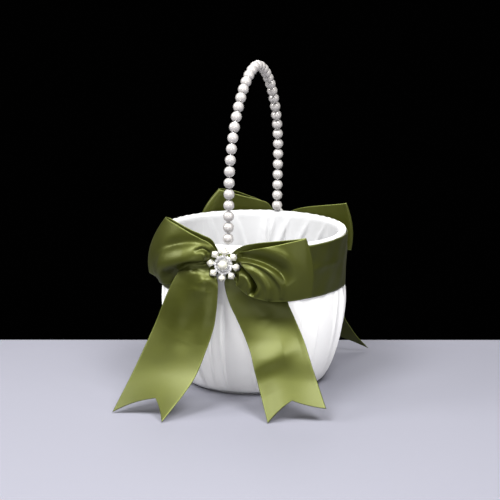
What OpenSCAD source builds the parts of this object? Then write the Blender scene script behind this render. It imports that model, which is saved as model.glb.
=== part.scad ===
// Flower girl basket: a round, satin-covered basket for petals, with a
// beaded wire handle, a wide ribbon round the rim and a bow with a brooch
// at the front and at the back, where the handle is rooted.
// The origin is the centre of the base's underside, +Z is up, the front bow
// faces -Y, and the handle's arch lies in the YZ plane. Millimetres.

/* [Basket] */
// Height of the rim above the table
basket_h = 117.5; // [112:0.5:124]
// Outer radius of the fabric at the rim
rim_r = 70.2; // [69:0.1:72]
// Outer radius of the fabric at its widest point below the ribbon
belly_r = 68.3; // [66:0.1:69]
// Height of that widest point
belly_z = 57; // [52:1:62]
// Radius of the flat bottom
base_r = 50; // [46:0.5:53]

/* [Layers] */
// Thickness of the satin and its seams, inside and outside
fabric_t = 0.7; // [0.5:0.1:0.8]
// Thickness of the stiff core between the fabrics
core_t = 3.9; // [3.5:0.1:4.2]
// Thickness of the covered board under the base
board_t = 1.3; // [1:0.1:1.5]
// Thickness of the cushioned floor inside
pad_t = 2; // [1:0.1:3]
// Height of the rounded fold over the rim
fold_h = 1.5; // [1:0.1:2]

/* [Ribbon] */
// Width of the satin ribbon
ribbon_w = 40; // [36:1:40]
// Thickness that stands for one layer of ribbon
ribbon_t = 0.8; // [0.6:0.1:1]
// Width of the band where it is gathered under a knot
gather_w = 12; // [10:1:16]

/* [Bows] */
// Height of the knots
knot_z = 105; // [103:0.5:106]
// Radius of a knot seen from the front
knot_r = 8; // [6:0.5:9]
// Half the depth of a knot
knot_d = 3.1; // [2.5:0.1:3.2]
// Half the depth of a loop, front to back
loop_d = 6; // [5:0.5:6]

/* [Brooch] */
// Radius of the circle that the outer pearls sit on
brooch_r = 10; // [9.5:0.1:10.5]
// Diameter of an outer pearl
petal_d = 4.7; // [4:0.1:5]
// Diameter of the centre pearl
centre_d = 7; // [6:0.1:7]
// Number of arms
arms = 8; // [6:1:8]
// Turn of the brooch on the knot, in degrees
brooch_turn = -6; // [-20:1:20]

/* [Handle] */
// Distance of each root from the centre, along Y
root_y = 66.7; // [66.4:0.1:67]
// Diameter of a pearl
pearl_d = 8; // [7:0.5:8]
// Number of pearls
pearls = 38; // [36:1:38]
// Radius of the wire
wire_r = 0.7; // [0.5:0.05:0.7]
// Length of the straight leg above the lowest pearl
leg_h = 41; // [35:1:45]
// Height of the arch above the legs
arch_h = 77.5; // [70:0.5:80]
// Roundness of the arch: 2 is an ellipse, and less is more pointed
arch_power = 1.825; // [1.7:0.005:2]
// Lean of the handle towards +X, in degrees
lean = 1; // [0:0.5:2]

/* [Hidden] */
$fn = 72;
gap = 0.1;                       // between the layers of one body
lift = 0.6;                      // the cover's hem stays this far off the table
hem_in = 0.3;                    // a layer starts this part of its depth further in
core_in = fabric_t + gap;        // depth of the core's outer face in the wall
core_out = core_in + core_t;     // depth of its inner face
lining_in = core_out + gap;
lining_out = lining_in + fabric_t;
pad_in = 2.2;                    // the floor pad is this much smaller than the base
wall_top = basket_h - fold_h - gap;
band_top = basket_h - fold_h - 2 * gap;
band_low = band_top - ribbon_w;
knot_y = rim_r + gap + ribbon_t + gap + knot_d;
brooch_y = knot_y + knot_d + gap;
setting_t = 0.9;                 // thickness of the brooch's metal back
anchor_len = 18;                 // depth of the wire's end in the core
bore_r = wire_r + 0.05;
first_z = basket_h + pearl_d / 2 + 0.5;
wire_low = basket_h + 0.5;
SILVER = [0.78, 0.78, 0.8];
SATIN = [0.95, 0.94, 0.92];
GREEN = [0.36, 0.4, 0.16];

// ---- The basket's wall -------------------------------------------------

// Outer radius of the fabric at height z above the hem
function wall_r(z) = z < belly_z
    ? base_r + (belly_r - base_r) * pow(1 - pow(1 - z / belly_z, 1.7), 0.62)
    : belly_r + (rim_r - belly_r) * (z - belly_z) / (basket_h - belly_z);

// Heights for the wall's outline, closer together in the rounded corner
wall_steps = 16;
function wall_z(i, top) = (top - lift) * pow(i / wall_steps, 2);

// Point i of the outline, set inwards by depth along the wall's normal
function wall_point(i, depth, top) =
    let (z = wall_z(i, top), a = wall_r(max(0, z - 0.5)), b = wall_r(z + 0.5),
         len = norm([b - a, z < 0.5 ? z + 0.5 : 1]),
         nr = i == 0 ? 0 : (z < 0.5 ? z + 0.5 : 1) / len,
         nz = i == 0 ? -1 : -(b - a) / len)
    [wall_r(z) - (i == 0 ? hem_in : nr) * depth, lift + z - depth * nz];

function wall_line(depth, top) =
    [for (i = [0 : wall_steps]) wall_point(i, depth, top)];

function flipped(line) = [for (i = [len(line) - 1 : -1 : 0]) line[i]];

// A layer of the wall between two depths, open at the top
module wall_layer(near, far, top) {
    near_line = wall_line(near, top);
    far_line = wall_line(far, top);
    last = wall_steps;
    cut_near = concat([for (i = [0 : last - 1]) near_line[i]],
                      [[near_line[last].x, top]]);
    cut_far = concat([for (i = [0 : last - 1]) far_line[i]],
                     [[far_line[last].x, top]]);
    rotate_extrude() polygon(concat(cut_near, flipped(cut_far)));
}

// Both holes that the handle's wire passes through
module wire_holes(r, low, high) {
    for (side = [-1, 1])
        translate([0, side * root_y, low]) cylinder(r = r, h = high - low);
}

module core_shell() {
    color("tan") difference() {
        union() {
            wall_layer(core_in, core_out, wall_top);
            translate([0, 0, lift + core_in])
                cylinder(r = base_r - 1, h = core_t);
        }
        wire_holes(bore_r, wall_top - anchor_len - 1, basket_h);
    }
}

module base_board() {
    color(SATIN) cylinder(r = base_r - 1, h = board_t);
}

module outer_cover() {
    color(SATIN) wall_layer(0, fabric_t, wall_top);
}

module lining() {
    color(SATIN) wall_layer(lining_in, lining_out, wall_top);
}

module floor_pad() {
    color(SATIN) translate([0, 0, lift + lining_in])
        cylinder(r = base_r - pad_in, h = pad_t);
}

// The fabric turned over the edge, with a hole at each root of the handle
module rim_fold() {
    mid = rim_r - lining_out / 2;
    color(SATIN) difference() {
        rotate_extrude()
            polygon([for (a = [0 : 12 : 180])
                [mid + lining_out / 2 * cos(a),
                 basket_h - fold_h + fold_h * sin(a)]]);
        wire_holes(wire_r + 0.3, basket_h - 2 * fold_h, basket_h + 1);
    }
}

// ---- The ribbon round the rim ------------------------------------------

// Half of the band, gathered to a narrow end under each knot
module ribbon_band(side) {
    low_r = wall_r(band_low) + gap;
    top_r = wall_r(band_top) + gap;
    from = 6;
    flat = 26;
    color(GREEN) intersection() {
        rotate([0, 0, -90]) rotate_extrude()
            polygon([[low_r, band_low], [low_r + ribbon_t, band_low],
                     [top_r + ribbon_t, band_top], [top_r, band_top]]);
        rotate([90, 0, 0]) linear_extrude(height = 4 * rim_r, center = true)
            polygon([[side * from, knot_z - gather_w / 2],
                     [side * from, knot_z + gather_w / 2],
                     [side * flat, band_top + 1], [side * 2 * rim_r, band_top + 1],
                     [side * 2 * rim_r, band_low - 1], [side * flat, band_low - 1]]);
    }
}

module ribbon_band_right() { ribbon_band(1); }
module ribbon_band_left() { ribbon_band(-1); }

// ---- The bows ----------------------------------------------------------

// A knot: a lens-shaped wad of ribbon
module knot() {
    color(GREEN) translate([0, -knot_y, knot_z]) rotate([90, 0, 0])
        rotate_extrude()
            polygon(concat([[0, -knot_d]],
                [for (a = [-75 : 15 : 75]) [knot_r * cos(a), knot_d * sin(a)]],
                [[0, knot_d]]));
}

// Teardrop outline that starts at the knot and is length long
function teardrop(length, half, inset) =
    [for (a = [15 : 15 : 345])
        [inset + (length - 2 * inset) * (1 - cos(a)) / 2,
         (half - inset) * 1.3 * sin(a) * sin(a / 2)]];

// A loop that points along +X from the knot's edge: a ring of ribbon seen
// from above, fanned out from the knot to its outer fold seen from the front
module bow_loop(length, tilt, sweep, start_y) {
    half_w = ribbon_w / 2;
    color(GREEN) translate([knot_r + 0.5, -start_y, knot_z])
    rotate([0, -tilt, sweep]) intersection() {
        linear_extrude(height = 3 * ribbon_w, center = true)
            difference() {
                polygon(teardrop(length, loop_d, 0));
                polygon(teardrop(length, loop_d, ribbon_t));
            }
        rotate([90, 0, 0])
            linear_extrude(height = 4 * loop_d, center = true)
                polygon([[0, -5], [0, 5], [length * 0.35, half_w * 0.85],
                         [length + 1, half_w + 1], [length + 1, -half_w + 1],
                         [length * 0.55, -half_w - 4], [length * 0.25, -half_w + 1]]);
    }
}

// Side view of a tail, from its top down and forward to the table
function tail_bend(t, top, bend, foot) =
    (1 - t) * (1 - t) * top + 2 * t * (1 - t) * bend + t * t * foot;

// A tail: the side view drawn wide, cut to its outline seen from the front
module bow_tail(top, bend, foot, outline) {
    steps = 12;
    front = [for (i = [0 : steps]) tail_bend(i / steps, top, bend, foot)];
    back = [for (p = front) p + [ribbon_t, 0]];
    color(GREEN) intersection() {
        rotate([90, 0, 90]) linear_extrude(height = 4 * rim_r, center = true)
            polygon(concat(front, flipped(back)));
        rotate([90, 0, 0]) linear_extrude(height = 4 * rim_r, center = true)
            polygon(outline);
    }
}

// Turns a bow's pieces half a turn, to the back of the basket
module at_back() { rotate([0, 0, 180]) children(); }

module front_bow_knot() { knot(); }
module front_bow_loop_right() { bow_loop(57, 2, 5, knot_y + 2.5); }
module front_bow_loop_left() {
    mirror([1, 0, 0]) bow_loop(50, 13, 10, knot_y + 0.5);
}
// The right tail comes out from under the right loop
module front_bow_tail_right() {
    bow_tail([-knot_y, 97], [-knot_y - 8, 50], [-118, 0.3],
        [[0, 96], [7.5, 96], [9, 78.5], [47, 78.5], [59, 59], [69, 41], [84, 13],
         [61, 17], [45, 0], [34, 21], [24, 43], [9, 67], [-1, 90]]);
}
// The left tail lies over the left loop
module front_bow_tail_left() {
    bow_tail([-brooch_y - 2.5, 104], [-brooch_y - 12, 55], [-131, 0.3],
        [[-14, 98], [-22, 102], [-29, 103], [-35, 96], [-40, 85], [-49, 59],
         [-58, 35], [-69, 3], [-47, 12], [-29, 0], [-14, 25], [-6, 48], [-4, 60],
         [-3, 89]]);
}

module back_bow_knot() { at_back() knot(); }
module back_bow_loop_left() { at_back() bow_loop(54, 13, 8, knot_y + 1.5); }
module back_bow_loop_right() {
    at_back() mirror([1, 0, 0]) bow_loop(48, 0, 8, knot_y + 2.5);
}
// Outline of the right back tail; the left one is its mirror image
back_tail = [[1, 96], [7.5, 96], [9, 78.5], [40, 78.5], [48, 44], [57, 22], [68, 3],
             [46, 15], [24, 3], [10, 24], [4, 44], [1, 80]];
module back_bow_tail_left() {
    at_back() bow_tail([-knot_y, 97], [-knot_y - 2, 50], [-101, 0.3], back_tail);
}
module back_bow_tail_right() {
    at_back() mirror([1, 0, 0])
        bow_tail([-knot_y, 97], [-knot_y - 2, 50], [-101, 0.3], back_tail);
}

// ---- The brooches ------------------------------------------------------

// Places children at the brooch's face, +Z pointing out of it
module on_brooch() {
    translate([0, -brooch_y, knot_z]) rotate([90, 0, 0])
        rotate([0, 0, brooch_turn]) children();
}

// Copies children once for each arm, at a distance from the centre
module round_arms(distance, turn) {
    for (i = [0 : arms - 1])
        rotate([0, 0, turn + i * 360 / arms]) translate([distance, 0, 0]) children();
}

module brooch_setting() {
    color(SILVER) on_brooch() {
        cylinder(r = brooch_r * 0.68, h = setting_t);
        round_arms(0, 0) translate([0, -0.6, 0])
            cube([brooch_r, 1.2, setting_t]);
        round_arms(brooch_r, 0) cylinder(r = petal_d * 0.36, h = setting_t);
    }
}

// A pearl with a flat back, set on the metal
module set_pearl(d) {
    translate([0, 0, setting_t + gap]) intersection() {
        translate([0, 0, d * 0.3]) sphere(d = d);
        cylinder(r = d, h = d);
    }
}

module brooch_centre_pearl() {
    color("ivory") on_brooch() set_pearl(centre_d);
}

module brooch_petal_pearls() {
    color("ivory") on_brooch() round_arms(brooch_r, 0) set_pearl(petal_d);
}

// A cut stone: a cone between the centre pearl and an outer pearl
module brooch_crystals() {
    stone_r = 0.95;
    stone_at = brooch_r * 0.52;
    color("lightsteelblue") on_brooch() round_arms(stone_at, 180 / arms)
        translate([0, 0, setting_t + gap])
            cylinder(r1 = stone_r, r2 = stone_r * 0.55, h = 1.4);
}

module front_brooch_setting() { brooch_setting(); }
module front_brooch_centre_pearl() { brooch_centre_pearl(); }
module front_brooch_petal_pearls() { brooch_petal_pearls(); }
module front_brooch_crystals() { brooch_crystals(); }
module back_brooch_setting() { at_back() brooch_setting(); }
module back_brooch_centre_pearl() { at_back() brooch_centre_pearl(); }
module back_brooch_petal_pearls() { at_back() brooch_petal_pearls(); }
module back_brooch_crystals() { at_back() brooch_crystals(); }

// ---- The handle --------------------------------------------------------

// Right half of the arch seen from the side, from the lowest pearl to the
// top: a straight leg, then a quarter of a superellipse
leg_steps = 6;
arch_steps = 30;
half_path = concat(
    [for (i = [0 : leg_steps - 1]) [root_y, first_z + leg_h * i / leg_steps]],
    [for (i = [0 : arch_steps]) let (a = 90 * i / arch_steps)
        [root_y * pow(max(0, cos(a)), 2 / arch_power),
         first_z + leg_h + arch_h * pow(sin(a), 2 / arch_power)]]);
path = concat([for (p = half_path) [-p.x, p.y]],
              [for (i = [len(half_path) - 2 : -1 : 0]) half_path[i]]);

// Length along the path up to each of its points
function run_length(line, i = 1, sum = [0]) = i == len(line) ? sum
    : run_length(line, i + 1,
        concat(sum, [sum[i - 1] + norm(line[i] - line[i - 1])]));
path_run = run_length(path);
path_len = path_run[len(path) - 1];
run_y = [for (i = [0 : len(path) - 1]) [path_run[i], path[i].x]];
run_z = [for (i = [0 : len(path) - 1]) [path_run[i], path[i].y]];
function on_path(s) = [lookup(s, run_y), lookup(s, run_z)];

// Leans the handle about the line through its roots
module leaning() {
    translate([0, 0, basket_h]) rotate([0, lean, 0])
        translate([0, 0, -basket_h]) children();
}

// The bead at length s, with its hole along the wire
module pearl_at(s) {
    p = on_path(s);
    d = on_path(min(path_len, s + 1)) - on_path(max(0, s - 1));
    translate([0, p.x, p.y]) rotate([-atan2(d.x, d.y), 0, 0]) difference() {
        sphere(d = pearl_d);
        cylinder(r = wire_r + 0.15, h = 2 * pearl_d, center = true);
    }
}

module handle_pearls() {
    color("ivory") leaning()
        for (i = [0 : pearls - 1]) pearl_at(path_len * i / (pearls - 1));
}

// The wire: rings of points swept along the path between the wire's ends
module handle_wire() {
    sides = 8;
    line = concat([[-root_y, wire_low]], path, [[root_y, wire_low]]);
    last = len(line) - 1;
    rings = [for (i = [0 : last])
        let (d = line[min(last, i + 1)] - line[max(0, i - 1)], u = d / norm(d))
        [for (k = [0 : sides - 1]) let (a = 360 * k / sides)
            [wire_r * cos(a), line[i].x + wire_r * sin(a) * u.y,
             line[i].y - wire_r * sin(a) * u.x]]];
    faces = concat(
        [[for (k = [0 : sides - 1]) k]],
        [[for (k = [sides - 1 : -1 : 0]) last * sides + k]],
        [for (i = [0 : last - 1], k = [0 : sides - 1]) let (n = (k + 1) % sides)
            [i * sides + k, (i + 1) * sides + k, (i + 1) * sides + n, i * sides + n]]);
    color("silver") leaning()
        polyhedron(points = [for (ring = rings, p = ring) p], faces = faces);
}

// The ends of the wire that are pushed into the core
module handle_anchor(side) {
    color("silver") translate([0, side * root_y, wall_top - anchor_len])
        cylinder(r = wire_r, h = anchor_len + fold_h);
}

module handle_anchor_front() { handle_anchor(-1); }
module handle_anchor_back() { handle_anchor(1); }

core_shell();
base_board();
outer_cover();
lining();
floor_pad();
rim_fold();
ribbon_band_right();
ribbon_band_left();
front_bow_loop_right();
front_bow_loop_left();
front_bow_tail_right();
front_bow_tail_left();
front_bow_knot();
front_brooch_setting();
front_brooch_centre_pearl();
front_brooch_petal_pearls();
front_brooch_crystals();
back_bow_loop_right();
back_bow_loop_left();
back_bow_tail_right();
back_bow_tail_left();
back_bow_knot();
back_brooch_setting();
back_brooch_centre_pearl();
back_brooch_petal_pearls();
back_brooch_crystals();
handle_anchor_front();
handle_anchor_back();
handle_wire();
handle_pearls();
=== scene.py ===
# %% [markdown]
# # A flower girl basket
#
# This notebook dresses the engineering model of a small petal basket: a stiff tub covered in white
# satin, a wide olive ribbon round its rim, a hand-tied bow with a jewelled brooch at the front and the
# back, and an arched handle of pearls on a wire. The engineering model says where everything is and how
# large it is, so we load it first and measure from it.

import math
import random

import bmesh
import bpy
import numpy as np
from mathutils import Matrix, Vector


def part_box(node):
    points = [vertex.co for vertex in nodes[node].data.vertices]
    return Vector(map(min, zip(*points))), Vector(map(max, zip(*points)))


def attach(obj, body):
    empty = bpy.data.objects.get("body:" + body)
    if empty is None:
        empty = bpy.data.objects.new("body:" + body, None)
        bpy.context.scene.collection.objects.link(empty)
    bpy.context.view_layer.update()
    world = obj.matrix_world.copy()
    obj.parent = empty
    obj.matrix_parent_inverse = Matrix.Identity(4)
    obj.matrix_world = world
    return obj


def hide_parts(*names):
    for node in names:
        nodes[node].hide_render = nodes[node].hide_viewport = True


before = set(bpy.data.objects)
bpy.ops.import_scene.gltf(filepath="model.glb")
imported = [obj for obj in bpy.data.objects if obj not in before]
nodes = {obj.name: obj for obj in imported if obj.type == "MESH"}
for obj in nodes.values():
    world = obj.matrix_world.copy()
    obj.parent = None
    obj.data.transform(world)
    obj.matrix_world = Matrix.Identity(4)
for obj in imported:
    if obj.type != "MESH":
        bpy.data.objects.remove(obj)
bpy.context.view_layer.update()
MM = 0.001

# %% [markdown]
# ## Measuring the basket
#
# The wall's outline is needed again and again, so we read it once: every corner point of the outer cover
# has a radius and a height, and between those heights a straight line is near enough. The same reader
# works for the lining, where the smallest radius at each height is the side that shows.


# %% Read radii and heights from the model
SMALL_STEP = 1e-5


def mesh_points(node):
    """All corner points of a CAD node, as an array in metres."""
    points = np.empty(len(nodes[node].data.vertices) * 3)
    nodes[node].data.vertices.foreach_get("co", points)
    return points.reshape(-1, 3)


def outline(node, outermost):
    """Heights and radii of a round node's outer or inner face, lowest first."""
    points = mesh_points(node)
    radius = np.hypot(points[:, 0], points[:, 1])
    order = np.argsort(points[:, 2])
    if not outermost:
        order = order[::-1]
    sign = 1 if outermost else -1
    kept = []
    for i in order:
        if not kept or sign * (radius[i] - kept[-1][1]) > SMALL_STEP:
            kept.append((points[i, 2], radius[i]))
    kept.sort()
    return np.array(kept).T


rim_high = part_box("rim_fold")[1]
rim_z = rim_high.z
rim_r = rim_high.x
band_low, band_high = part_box("ribbon_band_right")
cover_z, cover_r = outline("outer_cover", True)
lining_z, lining_r = outline("lining", False)
print(f"rim radius {rim_r:.4f}, rim height {rim_z:.4f}")


# %% [markdown]
# ## A few helpers
#
# Operators act on whatever is selected, and loading the model leaves its nodes selected, so each new
# piece starts from an empty selection. The other helpers name a new piece, apply its modifiers in
# order, and paint a piece, hang it under its body and hide the model's nodes that it stands for.


# %% Helpers for selection and modifiers
def deselect():
    bpy.ops.object.select_all(action="DESELECT")


def activate(piece):
    deselect()
    piece.select_set(True)
    bpy.context.view_layer.objects.active = piece
    return piece


def named(name):
    """Gives the piece that was just added its name."""
    piece = bpy.context.active_object
    piece.name = piece.data.name = name
    return piece


def apply_modifiers(piece):
    activate(piece)
    for modifier in list(piece.modifiers):
        bpy.ops.object.modifier_apply(modifier=modifier.name)
    return piece


def thicken(piece, thickness):
    """Gives a sheet its thickness, half to each side."""
    wall = piece.modifiers.new("thickness", "SOLIDIFY")
    wall.thickness = thickness
    wall.offset = 0
    return piece


# %% Helpers for edit mode
def in_edit_mode(piece, *steps):
    """Runs operators on all of a piece's faces in edit mode."""
    activate(piece)
    bpy.ops.object.mode_set(mode="EDIT")
    bpy.ops.mesh.select_all(action="SELECT")
    for step in steps:
        step()
    bpy.ops.object.mode_set(mode="OBJECT")
    return piece


def face_outwards():
    bpy.ops.mesh.normals_make_consistent(inside=False)


SAME_PLACE = 1e-6


def merge_doubles():
    bpy.ops.mesh.remove_doubles(threshold=SAME_PLACE)


def shade_smooth(piece):
    activate(piece)
    bpy.ops.object.shade_smooth()
    return piece


# %% Painting a piece and hanging it under its body
def finish_piece(piece, material, slot, body, *stands_for):
    """Paints a piece, hangs it under its body and hides the model's nodes that it stands for."""
    piece.data.materials.clear()
    piece.data.materials.append(material)
    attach(piece, body)
    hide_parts(*stands_for)
    return piece


# %% [markdown]
# ## The camera
#
# The object is seen from a little above, a little to the right of its front, through a long lens. The
# camera is placed by its distance and two angles from the middle of the rim, and then aimed slightly
# lower and to the left so that the handle's top and the ribbon's ends both fit with even margins.

# %% Camera
CAMERA_AZIMUTH = math.radians(16.07)
CAMERA_ELEVATION = math.radians(11.58)
CAMERA_DISTANCE = 1.533
CAMERA_LENS = 145.4
CAMERA_SENSOR = 36
AIM_DOWN = 0.0174
AIM_LEFT = 0.0027

back_way = Vector(
    (
        math.sin(CAMERA_AZIMUTH) * math.cos(CAMERA_ELEVATION),
        -math.cos(CAMERA_AZIMUTH) * math.cos(CAMERA_ELEVATION),
        math.sin(CAMERA_ELEVATION),
    )
)
right_way = Vector((math.cos(CAMERA_AZIMUTH), math.sin(CAMERA_AZIMUTH), 0))
up_way = back_way.cross(right_way)
rim_middle = Vector((0, 0, rim_z))
camera_place = rim_middle + back_way * CAMERA_DISTANCE
aim = rim_middle - up_way * AIM_DOWN - right_way * AIM_LEFT

deselect()
bpy.ops.object.camera_add(location=camera_place)
camera = bpy.context.active_object
camera.data.lens = CAMERA_LENS
camera.data.sensor_width = CAMERA_SENSOR
camera.rotation_euler = (camera_place - aim).to_track_quat("Z", "Y").to_euler()
bpy.context.scene.camera = camera
print("camera at", [round(c, 3) for c in camera_place])

# %% [markdown]
# ## Floor and light
#
# A pale table catches the soft shadows, and ends not far behind the basket. Two soft boxes high in front
# light the satin and leave the pair of highlights that every pearl shows. Four weaker boxes fill in from
# both sides, from the front and from behind. The room adds a weak, even, warm light that keeps the
# shadows open. The camera sees that room as dark, so that white satin and pearls stand out from it.

# %% Floor
TABLE_LONG = 3.0
TABLE_EDGE = 0.11


def shader_of(material):
    return material.node_tree.nodes["Principled BSDF"]


def plain_material(name, colour, roughness):
    material = bpy.data.materials.new(name)
    material.use_nodes = True
    shader_of(material).inputs["Base Color"].default_value = (*colour, 1)
    shader_of(material).inputs["Roughness"].default_value = roughness
    return material


deselect()
bpy.ops.mesh.primitive_plane_add(size=1, location=(0, 0, 0))
floor = named("table_top")
corners = []
for side, depth in ((-1, -1), (1, -1), (-1, 0), (1, 0)):
    away = TABLE_EDGE if depth == 0 else -TABLE_LONG
    place = right_way * side * TABLE_LONG - Vector((back_way.x, back_way.y, 0)).normalized() * away
    corners.append(place)
for vertex, corner in zip(floor.data.vertices, corners):
    vertex.co = corner
floor.data.materials.append(plain_material("pale_floor", (0.185, 0.185, 0.218), 0.6))
print(f"table: {2 * TABLE_LONG:.1f} m wide, ends {TABLE_EDGE:.2f} m behind the basket's middle")

# %% Soft boxes
LIGHTS_AIM = Vector((0, 0, 0.11))


def soft_box(name, place, size, power):
    """A rectangular area light that looks at the basket."""
    bpy.ops.object.light_add(type="AREA", location=place)
    light = bpy.context.active_object
    light.name = name
    light.data.shape = "RECTANGLE"
    light.data.size, light.data.size_y = size
    light.data.energy = power
    light.rotation_euler = (Vector(place) - LIGHTS_AIM).to_track_quat("Z", "Y").to_euler()
    return light


soft_box("right_box", (0.55, -0.52, 1.25), (0.5, 0.6), 28)
soft_box("left_box", (-0.3, -0.67, 1.25), (0.5, 0.6), 27)
soft_box("left_fill", (-1.05, -0.5, 0.85), (0.5, 0.5), 13)
soft_box("right_fill", (1.2, -0.5, 0.6), (0.6, 0.6), 4)
soft_box("front_fill", (0.35, -1.6, 0.3), (0.8, 0.5), 5)
soft_box("behind", (-0.4, 0.9, 1.2), (0.8, 0.8), 6)

# %% The room
ROOM_COLOUR = (1, 0.97, 0.94)
ROOM_LIGHT = 0.13
ROOM_SEEN = 0.0005

world = bpy.data.worlds.new("studio")
world.use_nodes = True
room = world.node_tree
room_light = room.nodes["Background"]
room_light.inputs["Color"].default_value = (*ROOM_COLOUR, 1)
room_light.inputs["Strength"].default_value = ROOM_LIGHT
dark_room = room.nodes.new("ShaderNodeBackground")
dark_room.inputs["Strength"].default_value = ROOM_SEEN
ray = room.nodes.new("ShaderNodeLightPath")
either = room.nodes.new("ShaderNodeMixShader")
room.links.new(ray.outputs["Is Camera Ray"], either.inputs[0])
room.links.new(room_light.outputs[0], either.inputs[1])
room.links.new(dark_room.outputs[0], either.inputs[2])
room.links.new(either.outputs[0], room.nodes["World Output"].inputs["Surface"])
bpy.context.scene.world = world
bpy.context.scene.view_settings.view_transform = "Standard"
print("room light:", ROOM_LIGHT, "as the camera sees it:", ROOM_SEEN)

# %% [markdown]
# ## Shared shader groups
#
# Several finishes need the same small effects, so each effect is a node group with named inputs:
#
# - *weave* draws the fine cross threads of satin from the cloth's own UV map, which is in metres;
# - *mottle* gives soft, large patches at random, for cloth and for metal that isn't new;
# - the last one is a mask along both edges of a ribbon: for its woven border, and for the painted highlight
#   where the edges catch the light.


# %% Node group tools
def new_group(name, inputs, outputs):
    """An empty node group with its sockets; returns the group, its nodes, links, input and output."""
    group = bpy.data.node_groups.new(name, "ShaderNodeTree")
    for socket, kind, value in inputs:
        made = group.interface.new_socket(socket, in_out="INPUT", socket_type=kind)
        if value is not None:
            made.default_value = value
    for socket, kind in outputs:
        group.interface.new_socket(socket, in_out="OUTPUT", socket_type=kind)
    entry = group.nodes.new("NodeGroupInput")
    leave = group.nodes.new("NodeGroupOutput")
    return group, group.nodes, group.links, entry, leave


def math_node(tree_nodes, links, operation, a, b=None, clamp=False):
    """A math node whose inputs are sockets or numbers; returns its output."""
    node = tree_nodes.new("ShaderNodeMath")
    node.operation = operation
    node.use_clamp = clamp
    for socket, value in zip(node.inputs, (a, b)):
        if value is None:
            continue
        if isinstance(value, (int, float)):
            socket.default_value = value
        else:
            links.new(value, socket)
    return node.outputs[0]


# %% Shared group: weave
FLOAT = "NodeSocketFloat"
VECTOR = "NodeSocketVector"
WARP_COUNT = 1.7  # cross threads for each long one
WARP_SHOWS = 0.35
THREAD_HEIGHT = 0.3

weave, wn, wl, w_in, w_out = new_group(
    "weave",
    [("Vector", VECTOR, None), ("Thread", FLOAT, 0.0004), ("Slub", FLOAT, 0.4)],
    [("Height", FLOAT)],
)
axes = wn.new("ShaderNodeSeparateXYZ")
wl.new(w_in.outputs["Vector"], axes.inputs[0])
turns = math_node(wn, wl, "DIVIDE", 2 * math.pi, w_in.outputs["Thread"])
weft = math_node(wn, wl, "SINE", math_node(wn, wl, "MULTIPLY", axes.outputs["X"], turns))
warp_turns = math_node(wn, wl, "MULTIPLY", turns, WARP_COUNT)
warp = math_node(wn, wl, "SINE", math_node(wn, wl, "MULTIPLY", axes.outputs["Y"], warp_turns))
threads = math_node(wn, wl, "ADD", math_node(wn, wl, "MULTIPLY", warp, WARP_SHOWS), weft)
slub = wn.new("ShaderNodeTexNoise")
slub.inputs["Scale"].default_value = 260
slub.inputs["Detail"].default_value = 3
stretch = wn.new("ShaderNodeMapping")
stretch.inputs["Scale"].default_value = (6, 0.5, 1)
wl.new(w_in.outputs["Vector"], stretch.inputs["Vector"])
wl.new(stretch.outputs[0], slub.inputs["Vector"])
uneven = math_node(wn, wl, "MULTIPLY", slub.outputs["Fac"], w_in.outputs["Slub"])
raised = math_node(wn, wl, "MULTIPLY", threads, THREAD_HEIGHT)
wl.new(math_node(wn, wl, "ADD", raised, uneven), w_out.inputs["Height"])

# %% Shared group: mottle
mottle, mn, ml, m_in, m_out = new_group(
    "mottle",
    [("Vector", VECTOR, None), ("Scale", FLOAT, 40.0), ("Contrast", FLOAT, 1.0)],
    [("Mask", FLOAT)],
)
cloud = mn.new("ShaderNodeTexNoise")
cloud.inputs["Detail"].default_value = 4
cloud.inputs["Roughness"].default_value = 0.55
ml.new(m_in.outputs["Vector"], cloud.inputs["Vector"])
ml.new(m_in.outputs["Scale"], cloud.inputs["Scale"])
centred = math_node(mn, ml, "SUBTRACT", cloud.outputs["Fac"], 0.5)
scaled = math_node(mn, ml, "MULTIPLY", centred, m_in.outputs["Contrast"])
ml.new(math_node(mn, ml, "ADD", scaled, 0.5, clamp=True), m_out.inputs["Mask"])

# %% Shared group: woven_edge_and_highlight
# a mask for a ribbon's edges: their woven border, and a painted highlight where they catch the light
woven_edge_and_highlight, en, el, e_in, e_out = new_group(
    "woven_edge_and_highlight",
    [("Vector", VECTOR, None), ("Width", FLOAT, 0.04), ("Border", FLOAT, 0.0012)],
    [("Mask", FLOAT)],
)
edge_axes = en.new("ShaderNodeSeparateXYZ")
el.new(e_in.outputs["Vector"], edge_axes.inputs[0])
from_far = math_node(en, el, "SUBTRACT", e_in.outputs["Width"], edge_axes.outputs["Y"])
nearest = math_node(en, el, "MINIMUM", edge_axes.outputs["Y"], from_far)
share = math_node(en, el, "DIVIDE", nearest, e_in.outputs["Border"])
el.new(math_node(en, el, "SUBTRACT", 1, share, clamp=True), e_out.inputs["Mask"])
print("shader groups:", sorted(g.name for g in bpy.data.node_groups))

# %% [markdown]
# ## Satin
#
# Satin is a weave whose long floating threads all run one way, so it shines like silk: broad soft
# highlights that take on the thread's own colour, and quick falls into shadow. For the ribbon, a
# Principled shader with some metallic and a middling roughness gives both, and a thin rough coat adds the
# pale gleam on its crests. The white satins need no metallic, only a little sheen. One function makes
# the ribbon, the cover and the lining, each with its own values. The lining is the same white satin as
# the cover, but its colour is painted much darker: painted shade for the inside of the basket.


# %% Tools for materials
def add_group(material, group, **values):
    node = material.node_tree.nodes.new("ShaderNodeGroup")
    node.node_tree = group
    for name, value in values.items():
        node.inputs[name].default_value = value
    return node


def mix_colours(tree, factor, low, high):
    """A colour mix between two colours, by a mask; returns its output."""
    mix = tree.nodes.new("ShaderNodeMix")
    mix.data_type = "RGBA"
    tree.links.new(factor, mix.inputs["Factor"])
    for socket, value in zip((mix.inputs[6], mix.inputs[7]), (low, high)):
        if hasattr(value, "is_linked"):
            tree.links.new(value, socket)
        else:
            socket.default_value = (*value, 1)
    return mix.outputs[2]


# %% Satin
ROUGH_DOWN, ROUGH_UP = 0.05, 0.07  # how far patches stray from the cloth's own roughness


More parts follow.
